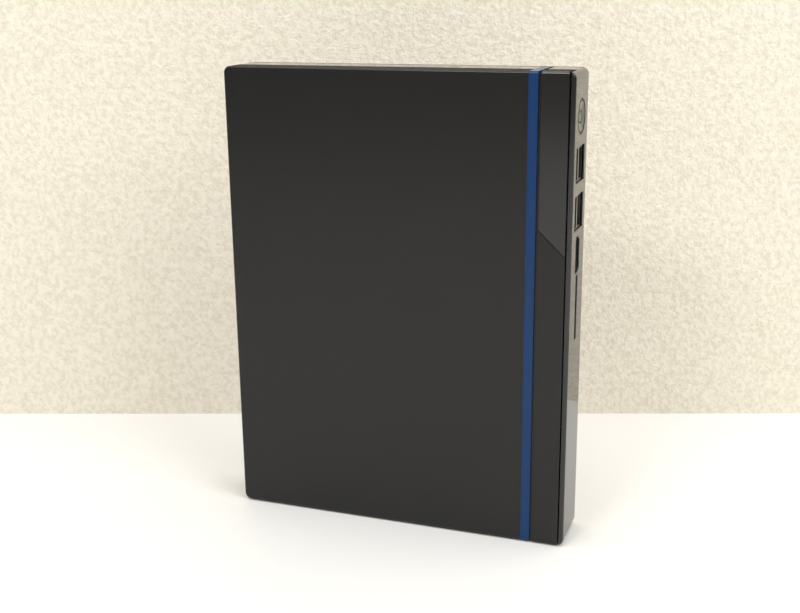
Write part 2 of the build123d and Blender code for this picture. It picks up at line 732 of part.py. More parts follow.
# ---------------------------------------------------------------- tray
def sled_window(half_width, y0, y1):
    """Keyhole window over the spindle and along the lens's path."""
    slot = block(0, RECESS_RADIUS, y0, y1, -half_width, half_width)
    slot = slot & rod_y(0, 0, y0 - 1, y1 + 1, 2 * (RECESS_RADIUS - 1.4))
    return turned(slot + rod_y(0, 0, y0, y1, 34.0))


def tray():
    body = block(TRAY_X0, TRAY_X1, Y_TRAY, Y_TRAY_UNDER, TRAY_Z0, TRAY_Z1)
    body -= rod_y(DISC_X, DISC_Z, Y_TRAY - 1, Y_FLOOR, 2 * RECESS_RADIUS)
    body -= block(
        TRAY_X0 + TRAY_WALL, TRAY_X1 - TRAY_WALL, Y_FLOOR + FLOOR_THICK, Y_TRAY_UNDER + 1,
        TRAY_Z0 + TRAY_WALL, TRAY_Z1 - TRAY_WALL,
    )
    body -= sled_window(13.0, Y_FLOOR - 1, Y_FLOOR + FLOOR_THICK + 0.1)
    # small-disc step in the recess
    step = rod_y(DISC_X, DISC_Z, Y_FLOOR - 0.1, Y_FLOOR + 0.4, 81.0)
    body -= step
    # finger notches at the recess's rim
    for x in (DISC_X - 42, DISC_X + 42):
        body -= rod_y(x, DISC_Z + 46, Y_TRAY - 1, Y_FLOOR, 14)
    body -= slot_x(Y_EJECT, EJECT_Z, 4.0, 8.4, 0.8, TRAY_X0 - 1, TRAY_X0 + TRAY_WALL + 0.5)
    for z0 in (TRAY_Z0 - 1, TRAY_Z1 - 0.6):
        body -= block(TRAY_X0 + 6, TRAY_X1 + 1, -0.8, 0.8, z0, z0 + 1.6)
    return body


def tray_bezel():
    bezel = block(X_LEFT, X_LEFT + BEZEL_THICK, Y_LID, Y_PAN, DRIVE_Z0 + 0.3, DRIVE_Z1 - 0.3)
    bezel = chamfer(bezel.faces().sort_by(Axis.X)[0].edges(), 0.35)
    bezel -= slot_x(Y_EJECT, EJECT_Z, 3.2, 7.2, 1.5, X_LEFT - 1, X_LEFT + 3)
    bezel -= slot_x(Y_EJECT, LIGHT_Z, 1.4, 4.0, 0.65, X_LEFT - 1, X_LEFT + 3)
    bezel -= rod_x(Y_EJECT, PINHOLE_Z, X_LEFT - 1, X_LEFT + 3, 1.3)
    return bezel


def eject_button():
    cap = slot_x(Y_EJECT, EJECT_Z, 2.8, 6.8, 1.35, X_LEFT + 0.05, -70.3)
    stop = slot_x(Y_EJECT, EJECT_Z, 3.4, 7.8, 0.8, -70.85, -70.0)
    return cap + stop


def eject_switch():
    body = block(-68.6, -65.6, Y_EJECT - 1.7, Y_EJECT + 1.7, EJECT_Z - 3, EJECT_Z + 3)
    return body + block(-65.7, -64.9, -1.4, 3.8, EJECT_Z - 6, EJECT_Z + 6)


def tray_light():
    return slot_x(Y_EJECT, LIGHT_Z, 1.2, 3.8, 0.55, X_LEFT + 0.02, X_LEFT + BEZEL_THICK)


def latch_solenoid():
    coil = block(-66.0, -52.0, -1.8, 3.8, 84.0, 92.0)
    coil = fillet(coil.edges().filter_by(Axis.X), 1.2)
    return coil + block(-67.6, -65.9, -0.6, 2.6, 85.6, 90.4)


def tray_rails():
    rails = []
    for z0 in (DRIVE_Z0 + SHEET + 0.4, DRIVE_Z1 - SHEET - 0.4 - 1.5):
        rail = block(-68.0, 50.0, -3.0, 3.0, z0, z0 + 1.5)
        for x0 in (-60.0, -20.0, 20.0):
            rail -= block(x0, x0 + 16, -1.2, 1.2, z0 - 1, z0 + 2.5)
        rails.append(rail)
    return joined(rails)


def tray_board():
    board = block(8.0, 47.6, 2.4, 3.2, 78.0, 126.0)
    return board - turned(rod_y(-16, -13, 2, 4, 7.0))


def tray_chips():
    parts = []
    for x, z, size, height in ((24.0, 112.0, 12.0, 1.2), (38.0, 94.0, 8.0, 1.0), (20.0, 96.0, 6.0, 0.9)):
        parts.append(block(x - size / 2, x + size / 2, 2.35 - height, 2.35, z - size / 2, z + size / 2))
    return joined(parts)


# ---------------------------------------------------------------- traverse
def deck_outline():
    return (
        (-20, -17), (-20, 17), (24, 19), (26, 26), (34, 26), (36, 19), (62, 19), (66, 12),
        (66, -12), (62, -19), (57.8, -19), (57.8, -25), (57.0, -25), (57.0, -19),
        (12.4, -19), (12.4, -25), (11.6, -25), (11.6, -19), (0, -19),
    )


def traverse_deck():
    """Steel frame that carries the motors, the rods and the sled."""
    plate = plate_y(deck_outline(), Y_DECK, Y_DECK + DECK_THICK)
    plate -= block(12.4, LENS_START + 3.4 + SLED_TRAVEL + 1.6, -5, 5, -16.0, 16.0)
    plate -= rod_y(0, 0, -5, 5, 20.0)
    for u0 in (11.6, 57.0):
        plate += block(u0, u0 + 0.8, -0.6, 3.4, -25, -19.6)
    plate -= rod_x(Y_SCREW, SCREW_OFFSET, 11, 58.5, SCREW_DIA + 2 * RUNNING)
    for v in (-ROD_OFFSET, ROD_OFFSET):
        for u0 in (7.2, 62.0):
            clip = block(u0, u0 + 1.4, Y_DECK + 0.1, Y_ROD + 1.5, v - 1.5, v + 1.5)
            plate += clip
    for v in (-ROD_OFFSET, ROD_OFFSET):
        plate -= rod_x(Y_ROD, v, 6, 66, ROD_DIA + 0.04)
    for u, v in DAMPER_SPOTS:
        plate -= rod_y(u, v, Y_DECK - 1, Y_DECK + 2, 1.8)
    return turned(plate)


def dampers():
    parts = []
    for u, v in DAMPER_SPOTS:
        ring = rod_y(u, v, Y_FLOOR + FLOOR_THICK + 0.05, Y_DECK - 0.05, 5.0)
        ring -= rod_y(u, v, -4, 2, 1.8)
        parts.append(turned(ring))
    return joined(parts)


def damper_screws():
    parts = []
    for u, v in DAMPER_SPOTS:
        head = rod_y(u, v, Y_DECK + DECK_THICK + 0.02, Y_DECK + DECK_THICK + 0.75, 3.2)
        shank = rod_y(u, v, Y_FLOOR + FLOOR_THICK + 0.05, Y_DECK + DECK_THICK + 0.1, 1.7)
        parts.append(turned(head + shank))
    return joined(parts)


def guide_rods():
    return joined(turned(rod_x(Y_ROD, v, 6.4, 63.2, ROD_DIA)) for v in (-ROD_OFFSET, ROD_OFFSET))


def spindle_motor():
    """Stator with its wound poles, and the bearing tube the shaft turns in."""
    stator = rod_y(0, 0, 0.2, 1.6, 19.6)
    for step in range(9):
        pole = block(4.0, 8.6, -1.9, 0.3, -1.4, 1.4)
        stator += Rot(0, step * 40, 0) * pole
    stator += rod_y(0, 0, -1.9, 2.4, 8.4)
    stator -= rod_y(0, 0, -3, 2.0, 3.1)
    return turned(stator)


def turntable():
    """Rotor cup, disc seat and centring hub on one shaft."""
    cup = rod_y(0, 0, -3.0, -0.1, 22.0) - rod_y(0, 0, -2.3, 0, 20.4)
    seat = rod_y(0, 0, Y_DISC, -2.9, 27.0)
    hub = rod_y(0, 0, -6.1, Y_DISC + 0.1, HUB_DIA)
    hub = chamfer(hub.faces().sort_by(Axis.Y)[0].edges(), 0.4)
    shaft = rod_y(0, 0, -3.0, 1.7, 3.0)
    body = cup + seat + hub + shaft
    for step in range(3):
        slot = block(3.6, 8.0, -5.7, Y_DISC - 0.1, -1.1, 1.1)
        body -= Rot(0, step * 120, 0) * slot
    return turned(body)


def clamp_claws():
    claws = []
    for step in range(3):
        claw = block(3.8, 7.3, -5.6, Y_DISC - 0.2, -0.95, 0.95)
        claws.append(turned(Rot(0, step * 120, 0) * claw))
    return joined(claws)


def pickup_sled():
    u0 = LENS_START - 9.5
    u1 = LENS_START + 3.4
    body = block(u0, u1, -1.9, 3.9, -15.0, 15.0)
    body -= block(LENS_START - 5, u1 - 0.8, -3, 2.2, -LENS_POCKET / 2, LENS_POCKET / 2)
    for v in (-1, 1):
        arm = block(u0 + 1, u1 - 1, 1.9, 3.9, min(v * 14.5, v * 19.2), max(v * 14.5, v * 19.2))
        body += arm
    for v in (-ROD_OFFSET, ROD_OFFSET):
        body -= rod_x(Y_ROD, v, u0 - 2, u1 + 2, ROD_DIA + 2 * RUNNING)
    body -= block(u0 + 1.0, LENS_START - 6.0, -3, -1.5, -12, 12)
    return turned(body)


def drive_nut():
    """Nut on the lead screw, reaching over the rod to the sled."""
    u0 = LENS_START - 7.0
    nut = block(u0, u0 + 6.0, 0.0, 2.9, SCREW_OFFSET - 1.6, SCREW_OFFSET + 1.6)
    nut += block(u0, u0 + 6.0, 1.95, 2.9, SCREW_OFFSET, -19.25)
    return turned(nut - rod_x(Y_SCREW, SCREW_OFFSET, u0 - 1, u0 + 7, SCREW_DIA + 2 * RUNNING))


def lens_holder():
    body = block(LENS_START - 4.0, LENS_START + 1.6, -2.6, -0.9, -4.4, 4.4)
    body = fillet(body.edges().filter_by(Axis.Y), 1.0)
    return turned(body - rod_y(LENS_START - 1.2, 0, -4, 0, 3.3))


def objective_lens():
    lens = rod_y(LENS_START - 1.2, 0, -2.7, -1.5, 3.2)
    return turned(fillet(lens.faces().sort_by(Axis.Y)[0].edges(), 0.5))


def sled_motor():
    body = rod_x(Y_SCREW, SCREW_OFFSET, 1.6, 11.5, 5.8)
    body = fillet(body.faces().sort_by(Axis.X)[0].edges(), 0.5)
    return turned(body - rod_x(Y_SCREW, SCREW_OFFSET, 9.6, 12, SCREW_DIA + 2 * RUNNING))


def lead_screw():
    """Rod with a groove for each turn of its coarse thread, a plain stand-in for the helix."""
    core = rod_x(Y_SCREW, SCREW_OFFSET, 9.8, 58.4, SCREW_DIA)
    for step in range(int(36 / SCREW_LEAD)):
        u = 14.5 + step * SCREW_LEAD
        core -= tube_x(Y_SCREW, SCREW_OFFSET, u, u + SCREW_LEAD * 0.4, SCREW_DIA + 1, SCREW_DIA - 0.4)
    return turned(core)


# ---------------------------------------------------------------- build and write
def build():
    whole = outer_block()
    node("front_cover", front_cover(whole))
    node("back_cover", back_cover(whole))
    node("side_frame", side_frame(whole))
    node("accent_strip", accent_strip(whole))
    node("gloss_panel", gloss_panel(whole))
    makers = (
        bottom_pads, back_feet, case_screws, power_button, power_ring, switch_plunger, power_switch,
        power_led, main_board, board_screws, usb_shells, usb_tongues, video_shell, video_tongue,
        card_cage, card_contacts, upstream_shell, upstream_tongue, power_jack, power_jack_pin,
        control_chips, capacitor_cans, power_coils, clock_crystals, drive_base, drive_lid,
        drive_screws, rail_guides, drive_connector, board_connector, ribbon_cable, drive_bracket,
        bracket_screws, tray, tray_bezel, eject_button, eject_switch, tray_light, latch_solenoid,
        tray_rails, tray_board, tray_chips, traverse_deck, dampers, damper_screws, guide_rods,
        spindle_motor, turntable, clamp_claws, pickup_sled, drive_nut, lens_holder, objective_lens,
        sled_motor, lead_screw,
    )
    for maker in makers:
        node(maker.__name__, maker())


build()
for name, shape in NODES.items():
    export_step(shape, f"parts/{name}.step")
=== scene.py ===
import json
import math
import random

import bmesh
import bpy
from mathutils import Matrix, Vector


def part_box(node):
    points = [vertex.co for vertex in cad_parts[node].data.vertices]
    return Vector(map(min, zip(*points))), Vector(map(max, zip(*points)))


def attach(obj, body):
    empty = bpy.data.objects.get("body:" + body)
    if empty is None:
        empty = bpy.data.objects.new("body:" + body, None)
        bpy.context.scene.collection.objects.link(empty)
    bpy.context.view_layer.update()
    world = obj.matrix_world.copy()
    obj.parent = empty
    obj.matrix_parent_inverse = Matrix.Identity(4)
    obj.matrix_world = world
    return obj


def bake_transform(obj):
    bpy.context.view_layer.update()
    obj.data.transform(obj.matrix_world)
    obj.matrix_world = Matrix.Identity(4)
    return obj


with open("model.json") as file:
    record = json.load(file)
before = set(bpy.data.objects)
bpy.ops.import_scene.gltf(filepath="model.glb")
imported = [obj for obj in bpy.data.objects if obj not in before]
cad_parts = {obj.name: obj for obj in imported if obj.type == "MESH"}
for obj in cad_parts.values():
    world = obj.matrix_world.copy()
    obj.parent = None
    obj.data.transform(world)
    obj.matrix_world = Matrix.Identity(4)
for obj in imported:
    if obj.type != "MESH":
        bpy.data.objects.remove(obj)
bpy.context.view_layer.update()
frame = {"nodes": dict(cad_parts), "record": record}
MM = 0.001


# ---------------------------------------------------------------- places taken from the frame
def low_high(name):
    low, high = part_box(name)
    return Vector(low), Vector(high)


def islands(name):
    """Low and high corners of each separate solid of a CAD node, sorted by height."""
    mesh = bmesh.new()
    mesh.from_mesh(frame["nodes"][name].data)
    bmesh.ops.remove_doubles(mesh, verts=mesh.verts, dist=1e-7)
    left = set(mesh.verts)
    found = []
    while left:
        stack = [left.pop()]
        group = []
        while stack:
            vert = stack.pop()
            group.append(vert.co.copy())
            near = [edge.other_vert(vert) for edge in vert.link_edges]
            stack.extend(other for other in near if other in left)
            left.difference_update(near)
        low = Vector([min(co[axis] for co in group) for axis in range(3)])
        high = Vector([max(co[axis] for co in group) for axis in range(3)])
        found.append((low, high))
    mesh.free()
    return sorted(found, key=lambda pair: (round(pair[0].z, 5), pair[0].y, pair[0].x))


def joint(name):
    return next(item for item in frame["record"]["behaviour"]["joints"] if item["name"] == name)


# ---------------------------------------------------------------- node helpers
class Tree:
    """A material's node tree with short calls for the nodes used below."""

    def __init__(self, name):
        self.material = bpy.data.materials.new(name)
        self.material.use_nodes = True
        self.nodes = self.material.node_tree.nodes
        self.links = self.material.node_tree.links
        self.shader = self.nodes["Principled BSDF"]
        self.coords = self.nodes.new("ShaderNodeTexCoord").outputs["Object"]

    def put(self, socket, value):
        self.shader.inputs[socket].default_value = value

    def wire(self, output, target):
        self.links.new(output, target)

    def noise(self, scale, detail=2.0, rough=0.5, stretch=None):
        node = self.nodes.new("ShaderNodeTexNoise")
        node.inputs["Scale"].default_value = scale
        node.inputs["Detail"].default_value = detail
        node.inputs["Roughness"].default_value = rough
        source = self.coords
        if stretch:
            mapping = self.nodes.new("ShaderNodeMapping")
            mapping.inputs["Scale"].default_value = stretch
            self.wire(source, mapping.inputs["Vector"])
            source = mapping.outputs["Vector"]
        self.wire(source, node.inputs["Vector"])
        return node.outputs["Fac"]

    def voronoi(self, scale):
        node = self.nodes.new("ShaderNodeTexVoronoi")
        node.inputs["Scale"].default_value = scale
        self.wire(self.coords, node.inputs["Vector"])
        return node.outputs["Distance"]

    def span(self, value, low, high, out_low, out_high):
        node = self.nodes.new("ShaderNodeMapRange")
        node.inputs["From Min"].default_value = low
        node.inputs["From Max"].default_value = high
        node.inputs["To Min"].default_value = out_low
        node.inputs["To Max"].default_value = out_high
        self.wire(value, node.inputs["Value"])
        return node.outputs["Result"]

    def mix(self, factor, first, second):
        node = self.nodes.new("ShaderNodeMix")
        node.data_type = "RGBA"
        sockets = [s for s in node.inputs if s.type == "RGBA"]
        for socket, value in zip(sockets, (first, second)):
            if isinstance(value, tuple):
                socket.default_value = (*value, 1.0)
            else:
                self.wire(value, socket)
        self.wire(factor, node.inputs["Factor"])
        return [s for s in node.outputs if s.type == "RGBA"][0]

    def bump(self, height, strength, distance):
        node = self.nodes.new("ShaderNodeBump")
        node.inputs["Strength"].default_value = strength
        node.inputs["Distance"].default_value = distance
        self.wire(height, node.inputs["Height"])
        if self.shader.inputs["Normal"].is_linked:
            self.wire(self.shader.inputs["Normal"].links[0].from_socket, node.inputs["Normal"])
        self.wire(node.outputs["Normal"], self.shader.inputs["Normal"])


def moulded(name, colour, rough, grain=2600.0, depth=0.02, spread=0.06, tone=0.15, shine=0.5,
            edge_on=None):
    """Moulded plastic with spark-eroded grain and slow changes of gloss.

    depth is the grain's height in millimetres, and edge_on the roughness when seen at a low angle.
    """
    tree = Tree(name)
    dark = tuple(c * (1 - tone) for c in colour)
    light = tuple(min(1.0, c * (1 + tone) + 0.0015) for c in colour)
    cloud = tree.noise(45.0, 4.0, 0.6)
    tree.wire(tree.mix(cloud, dark, light), tree.shader.inputs["Base Color"])
    gloss = tree.span(tree.noise(120.0, 5.0, 0.65), 0.3, 0.7, rough - spread, rough + spread)
    if edge_on:
        facing = tree.nodes.new("ShaderNodeLayerWeight")
        dull = tree.span(facing.outputs["Facing"], 0.6, 0.93, 0.0, edge_on - rough)
        total = tree.nodes.new("ShaderNodeMath")
        total.operation = "ADD"
        tree.wire(gloss, total.inputs[0])
        tree.wire(dull, total.inputs[1])
        gloss = total.outputs["Value"]
    tree.wire(gloss, tree.shader.inputs["Roughness"])
    tree.bump(tree.noise(grain, 3.0, 0.6), 0.35, depth * MM)
    tree.put("Specular IOR Level", shine)
    return tree.material


def polished(name, colour, rough, smear, shine):
    """High-gloss plastic: almost a mirror, with faint wipe marks and specks of dust."""
    tree = Tree(name)
    dark = tuple(c * 0.8 for c in colour)
    light = tuple(c * 1.25 for c in colour)
    tree.wire(tree.mix(tree.noise(30.0, 3.0, 0.5), dark, light), tree.shader.inputs["Base Color"])
    wipe = tree.noise(60.0, 6.0, 0.7, stretch=(1.0, 1.0, 0.25))
    gloss = tree.span(wipe, 0.45, 0.8, rough, rough + smear)
    tree.wire(gloss, tree.shader.inputs["Roughness"])
    tree.bump(tree.noise(90.0, 2.0, 0.4), 0.06, 0.02 * MM)
    tree.put("Specular IOR Level", shine)
    return tree.material


def metal(name, colour, rough, brushed=None, grain=0.02, spread=0.08):
    """Metal sheet or turned metal; brushed gives the stretch of its grain on each axis."""
    tree = Tree(name)
    tree.put("Metallic", 1.0)
    fine = tree.noise(900.0, 4.0, 0.6, stretch=brushed)
    dark = tuple(c * 0.82 for c in colour)
    light = tuple(min(1.0, c * 1.12) for c in colour)
    tree.wire(tree.mix(fine, dark, light), tree.shader.inputs["Base Color"])
    gloss = tree.span(tree.noise(140.0, 5.0, 0.6), 0.3, 0.75, max(0.02, rough - spread), rough + spread)
    tree.wire(gloss, tree.shader.inputs["Roughness"])
    tree.bump(fine, 0.25, grain * MM)
    return tree.material


def rubber_skin():
    """Dull rubber with a fine pebbled skin."""
    tree = Tree("rubber_skin")
    tree.wire(tree.mix(tree.noise(200.0, 4.0, 0.6), (0.016, 0.016, 0.016), (0.034, 0.034, 0.033)),
              tree.shader.inputs["Base Color"])
    tree.put("Roughness", 0.82)
    tree.bump(tree.voronoi(2400.0), 0.5, 0.04 * MM)
    tree.put("Specular IOR Level", 0.35)
    return tree.material


def circuit_board(name):
    """Green solder mask with raised copper tracks under it and tinned pads."""
    tree = Tree(name)
    cells = tree.nodes.new("ShaderNodeTexVoronoi")
    cells.distance = "MANHATTAN"
    cells.feature = "DISTANCE_TO_EDGE"
    cells.inputs["Scale"].default_value = 330.0
    tree.wire(tree.coords, cells.inputs["Vector"])
    track = tree.span(cells.outputs["Distance"], 0.05, 0.09, 1.0, 0.0)
    green = tree.mix(track, (0.004, 0.045, 0.02), (0.012, 0.11, 0.045))
    pads = tree.span(tree.voronoi(520.0), 0.10, 0.13, 1.0, 0.0)
    tree.wire(tree.mix(pads, green, (0.62, 0.60, 0.52)), tree.shader.inputs["Base Color"])
    tree.put("Roughness", 0.32)
    tree.bump(track, 0.5, 0.03 * MM)
    return tree.material


def clear_plastic(name, colour, rough):
    """Faintly tinted plastic that lets some light through."""
    tree = Tree(name)
    tree.wire(tree.mix(tree.noise(300.0, 3.0, 0.5), tuple(c * 0.9 for c in colour), colour),
              tree.shader.inputs["Base Color"])
    tree.put("Roughness", rough)
    tree.put("Transmission Weight", 0.35)
    tree.put("IOR", 1.49)
    tree.bump(tree.noise(1500.0, 2.0, 0.5), 0.08, 0.01 * MM)
    return tree.material


def lens_glass():
    """Lens with a coating that goes from blue to violet towards its rim."""
    tree = Tree("coated_lens")
    facing = tree.nodes.new("ShaderNodeLayerWeight")
    facing.inputs["Blend"].default_value = 0.35
    tree.wire(tree.mix(facing.outputs["Facing"], (0.10, 0.12, 0.35), (0.45, 0.22, 0.50)),
              tree.shader.inputs["Base Color"])
    tree.put("Roughness", 0.03)
    tree.put("Transmission Weight", 0.5)
    tree.put("IOR", 1.6)
    tree.put("Coat Weight", 0.6)
    tree.put("Coat Roughness", 0.01)
    return tree.material


MATERIALS = {
    "matte_case": moulded("satin_black", (0.0075, 0.0073, 0.0069), 0.23, grain=2300.0, depth=0.012,
                          spread=0.006, tone=0.05, shine=0.36, edge_on=0.85),
    "gloss_case": polished("piano_black", (0.0060, 0.0058, 0.0056), 0.03, 0.04, shine=0.62),
    "accent_blue": polished("blue_strip", (0.004, 0.033, 0.120), 0.24, 0.08, shine=0.25),
    "rubber": rubber_skin(),
    "screw_steel": metal("black_zinc_screw", (0.20, 0.20, 0.21), 0.34),
    "sheet_steel": metal("pressed_sheet", (0.56, 0.57, 0.58), 0.36, brushed=(1.0, 1.0, 14.0)),
    "socket_steel": metal("dark_nickel_shell", (0.20, 0.195, 0.19), 0.34, brushed=(9.0, 1.0, 1.0)),
    "black_plastic": moulded("connector_black", (0.012, 0.012, 0.013), 0.42, grain=3800.0),
    "white_plastic": moulded("acetal_white", (0.72, 0.71, 0.67), 0.38, tone=0.05),
    "board_green": circuit_board("solder_mask"),
    "chip_black": moulded("chip_epoxy", (0.018, 0.018, 0.020), 0.52, grain=5200.0),
    "can_metal": metal("drawn_aluminium", (0.70, 0.70, 0.71), 0.30, brushed=(1.0, 10.0, 1.0)),
    "ferrite": moulded("ferrite_grey", (0.045, 0.045, 0.047), 0.58, grain=3200.0, depth=0.05),
    "contact_gold": metal("gold_contact", (0.86, 0.62, 0.24), 0.22),
    "tray_plastic": moulded("tray_grey_black", (0.030, 0.030, 0.032), 0.50, grain=2100.0, depth=0.04),
    "bezel_black": moulded("bezel_gloss", (0.0085, 0.0085, 0.0090), 0.16, grain=3500.0, depth=0.004,
                           spread=0.04),
    "light_clear": clear_plastic("light_window", (0.42, 0.47, 0.50), 0.22),
    "film_white": moulded("flat_cable_film", (0.78, 0.78, 0.74), 0.34, tone=0.05),
    "bright_rod": metal("ground_rod", (0.78, 0.78, 0.79), 0.14, brushed=(6.0, 1.0, 6.0)),
    "sled_alloy": metal("die_cast_alloy", (0.44, 0.44, 0.45), 0.46, grain=0.05),
    "lens_glass": lens_glass(),
    "turntable_black": moulded("turntable_black", (0.022, 0.022, 0.023), 0.36),
    "copper": metal("enamelled_copper", (0.62, 0.24, 0.10), 0.26),
    "solder": metal("solder", (0.74, 0.74, 0.72), 0.24, grain=0.04),
    "nickel": metal("nickel_magnet", (0.60, 0.59, 0.57), 0.2),
}

for part in frame["record"]["subparts"]:
    obj = frame["nodes"][part["node"]]
    for index in range(len(obj.data.materials)):
        obj.data.materials[index] = MATERIALS[part["material_slot"]]


# ---------------------------------------------------------------- building detail pieces
SHARP_FROM = math.radians(35.0)


def add_box(mesh, low, high, place=None, bevel=0.0):
    """Box between two corners, with softened edges, set down by the matrix place."""
    low, high = Vector(low), Vector(high)
    made = bmesh.ops.create_cube(mesh, size=1.0)["verts"]
    bmesh.ops.scale(mesh, vec=high - low, verts=made)
    bmesh.ops.translate(mesh, vec=(low + high) / 2, verts=made)
    if place:
        bmesh.ops.transform(mesh, matrix=place, verts=made)
    if bevel:
        edges = list({edge for vert in made for edge in vert.link_edges})
        bmesh.ops.bevel(mesh, geom=edges, offset=bevel, segments=2, profile=0.5, affect="EDGES")


def add_tube(mesh, points, radius, closed=False, sides=10):
    """Round wire through the points."""
    count = len(points)
    rings = []
    for index, point in enumerate(points):
        after = points[(index + 1) % count] if closed or index < count - 1 else point
        before = points[index - 1] if closed or index > 0 else point
        line = (after - before).normalized()
        steep = abs(line.y) > 0.9
        side = (line.orthogonal() if steep else line.cross(Vector((0, 1, 0)))).normalized()
        up = side.cross(line)
        ring = []
        for step in range(sides):
            turn = 2 * math.pi * step / sides
            ring.append(mesh.verts.new(point + (side * math.cos(turn) + up * math.sin(turn)) * radius))
        rings.append(ring)
    pairs = list(zip(rings, rings[1:]))
    if closed:
        pairs.append((rings[-1], rings[0]))
    for first, second in pairs:
        for step in range(sides):
            following = (step + 1) % sides
            mesh.faces.new((first[step], first[following], second[following], second[step]))
    if not closed:
        mesh.faces.new(list(reversed(rings[0])))
        mesh.faces.new(rings[-1])


def ring_points(centre, radius, axis_a, axis_b, count=40):
    turns = [2 * math.pi * step / count for step in range(count)]
    return [centre + axis_a * (radius * math.cos(t)) + axis_b * (radius * math.sin(t)) for t in turns]


def loop_points(centre, half_a, half_b, axis_a, axis_b, corner, count=5):
    """Rounded rectangle as a closed line of points."""
    points = []
    for sign_a, sign_b, start in ((1, 1, 0), (-1, 1, 90), (-1, -1, 180), (1, -1, 270)):
        middle = centre + axis_a * (sign_a * (half_a - corner)) + axis_b * (sign_b * (half_b - corner))
        for step in range(count):
            turn = math.radians(start + 90 * step / (count - 1))
            offset = axis_a * (corner * math.cos(turn)) + axis_b * (corner * math.sin(turn))
            points.append(middle + offset)
    return points


def add_ring(mesh, centre, inner, outer, low_y, high_y, count=96):
    """Flat ring about the Y axis with slightly rounded rims."""
    soft = min(high_y - low_y, outer - inner) * 0.25
    profile = (
        (inner, high_y), (inner, low_y + soft), (inner + soft, low_y),
        (outer - soft, low_y), (outer, low_y + soft), (outer, high_y),
    )
    rings = []
    for step in range(count):
        turn = 2 * math.pi * step / count
        rings.append([
            mesh.verts.new((centre.x + r * math.cos(turn), y, centre.z + r * math.sin(turn)))
            for r, y in profile
        ])
    for index, ring in enumerate(rings):
        following = rings[(index + 1) % count]
        for a in range(len(profile)):
            b = (a + 1) % len(profile)
            mesh.faces.new((ring[a], ring[b], following[b], following[a]))


def piece(name, mesh, slot, body, material=None):
    """Turn a bmesh into an object with the material of a record slot, or the given material instead,
    riding on a CAD body unless body is None.
    """
    bmesh.ops.recalc_face_normals(mesh, faces=mesh.faces)
    data = bpy.data.meshes.new(name)
    mesh.to_mesh(data)
    mesh.free()
    data.materials.append(material or MATERIALS[slot])
    data.shade_smooth()
    data.set_sharp_from_angle(angle=SHARP_FROM)
    obj = bpy.data.objects.new(name, data)
    bpy.context.scene.collection.objects.link(obj)
    if body:
        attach(obj, body)
    return obj


# ---------------------------------------------------------------- sockets
CONTACT_THICK = 0.12 * MM
CONTACT_SETBACK = 0.35 * MM
SPRING_FROM_WALL = 2.2 * MM
SPRING_OFFSET = 3.2 * MM
SPRING_HALF = 1.1 * MM
SPRING_BACK = 8.5 * MM
SPRING_FRONT = 2.6 * MM


def tongue_contacts(name, node, count, pitch, width, reach, sides):
    """Gold blades along a socket's tongue; sides lists the faces that carry them, -1 and 1 along Y."""
    mesh = bmesh.new()
    for low, high in islands(node):
        outer = high.x if high.x > 0 else low.x
        inner = outer - math.copysign(reach, outer)
        start = outer - math.copysign(CONTACT_SETBACK, outer)
        x0, x1 = sorted((start, inner))
        middle = (low.z + high.z) / 2
        for side in sides:
            face = low.y if side < 0 else high.y
            y0, y1 = sorted((face - side * CONTACT_THICK * 0.2, face + side * CONTACT_THICK))
            for step in range(count):
                z = middle + (step - (count - 1) / 2) * pitch
                add_box(mesh, (x0, y0, z - width / 2), (x1, y1, z + width / 2), bevel=0.03 * MM)
    piece(name, mesh, "contact_gold", "case")


def shell_springs():
    """Pressed spring fingers that grip a plug, two beside each tongue."""
    mesh = bmesh.new()
    shell_end = low_high("usb_shells")[1].x
    for low, high in islands("usb_tongues"):
        wall = low.y - SPRING_FROM_WALL
        middle = (low.z + high.z) / 2
        for offset in (-SPRING_OFFSET, SPRING_OFFSET):
            add_box(
                mesh,
                (shell_end - SPRING_BACK, wall - 0.05 * MM, middle + offset - SPRING_HALF),
                (shell_end - SPRING_FRONT, wall + 0.28 * MM, middle + offset + SPRING_HALF),
                bevel=0.1 * MM,
            )
    piece("usb_springs", mesh, "socket_steel", "case")


tongue_contacts("usb_contacts", "usb_tongues", 4, 2.4 * MM, 1.1 * MM, 7.5 * MM, (-1,))
tongue_contacts("video_contacts", "video_tongue", 10, 1.0 * MM, 0.5 * MM, 7.0 * MM, (-1, 1))
tongue_contacts("upstream_contacts", "upstream_tongue", 2, 2.6 * MM, 1.2 * MM, 6.5 * MM, (-1, 1))
shell_springs()


# ---------------------------------------------------------------- main board's small parts
CROWD = (
    "control_chips", "capacitor_cans", "power_coils", "clock_crystals", "board_screws",
    "case_screws", "usb_shells", "upstream_shell", "power_jack", "power_switch", "power_led",
)
CHIP_TRIES = 900
CHIP_MOST = 130
CHIP_LONG = 0.8 * MM  # half the length
CHIP_SHORT = 0.4 * MM  # half the width
CHIP_CAP = 0.22 * MM
CHIP_TALL = {"ceramic_tan": 0.55 * MM, "resistor_black": 0.38 * MM}
CHIP_MARGIN = 1.1 * MM
GRID_X = 1.0 * MM
GRID_Z = 1.5 * MM
CHIP_FIELD = 38 * MM  # how far down the board the small parts go


